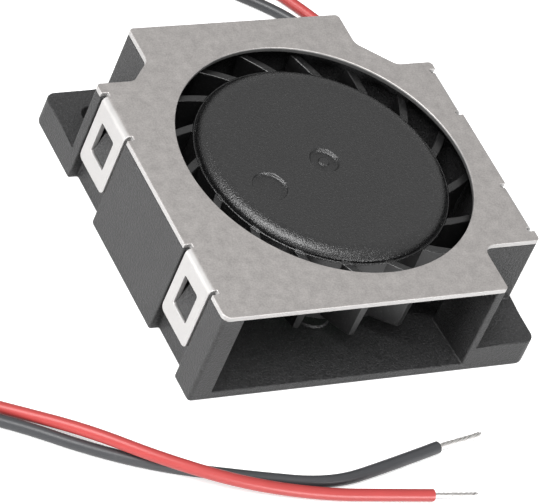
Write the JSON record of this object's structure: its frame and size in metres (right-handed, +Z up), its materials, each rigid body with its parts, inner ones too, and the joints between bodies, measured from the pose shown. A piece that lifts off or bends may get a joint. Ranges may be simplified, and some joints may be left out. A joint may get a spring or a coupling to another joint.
{
  "type": "centrifugal blower fan",
  "caption": "Flat square centrifugal blower with a clipped sheet cover, a leaning-blade impeller, side outlet and two loose leads with bare tinned ends.",
  "frame": {"origin": "centre of the square case, at the height of the surface it stands on", "axes": "+X right along the outlet, +Y to the back away from the outlet, +Z up along the rotor axis"},
  "size_m": [0.0592, 0.0659, 0.009],
  "materials": {
    "housing_plastic": "fine matte moulded texture",
    "cover_sheet": "satin rolled sheet",
    "impeller_plastic": "fine matte moulded texture",
    "yoke_steel": "plain pressed steel",
    "magnet": "bonded ferrite",
    "shaft_steel": "ground steel",
    "clip_steel": "spring steel",
    "tube_brass": "turned brass",
    "bearing_bronze": "sintered bronze",
    "pad_plastic": "natural nylon",
    "core_steel": "stamped laminations",
    "insulator_plastic": "natural moulded nylon",
    "winding": "enamelled copper wire",
    "pin_metal": "tinned pins",
    "board_laminate": "solder mask",
    "chip_plastic": "moulded epoxy",
    "capacitor_ceramic": "fired ceramic",
    "resistor_ceramic": "fired ceramic",
    "red_insulation": "smooth flexible insulation",
    "black_insulation": "smooth flexible insulation",
    "tinned_wire": "twisted tinned strands"
  },
  "bodies": {
    "case": {"housing": "housing_plastic", "cover_plate": "cover_sheet", "bearing_tube": "tube_brass", "sleeve_bearing": "bearing_bronze", "thrust_pad": "pad_plastic", "stator_core": "core_steel", "upper_insulator": "insulator_plastic", "lower_insulator": "insulator_plastic", "coil_1": "winding", "coil_2": "winding", "coil_3": "winding", "coil_4": "winding", "terminal_pins": "pin_metal", "circuit_board": "board_laminate", "driver_chip": "chip_plastic", "capacitor": "capacitor_ceramic", "resistor": "resistor_ceramic", "red_lead": "red_insulation", "black_lead": "black_insulation", "red_lead_end": "tinned_wire", "black_lead_end": "tinned_wire"},
    "rotor": {"impeller": "impeller_plastic", "rotor_yoke": "yoke_steel", "magnet_ring": "magnet", "rotor_shaft": "shaft_steel", "retaining_clip": "clip_steel"}
  },
  "joints": [
    {"name": "rotor_spin", "type": "hinge", "parent": "case", "child": "rotor", "pos_m": [0.00075, -0.0001, 0.0045], "axis": [0, 0, 1], "continuous": true}
  ]
}
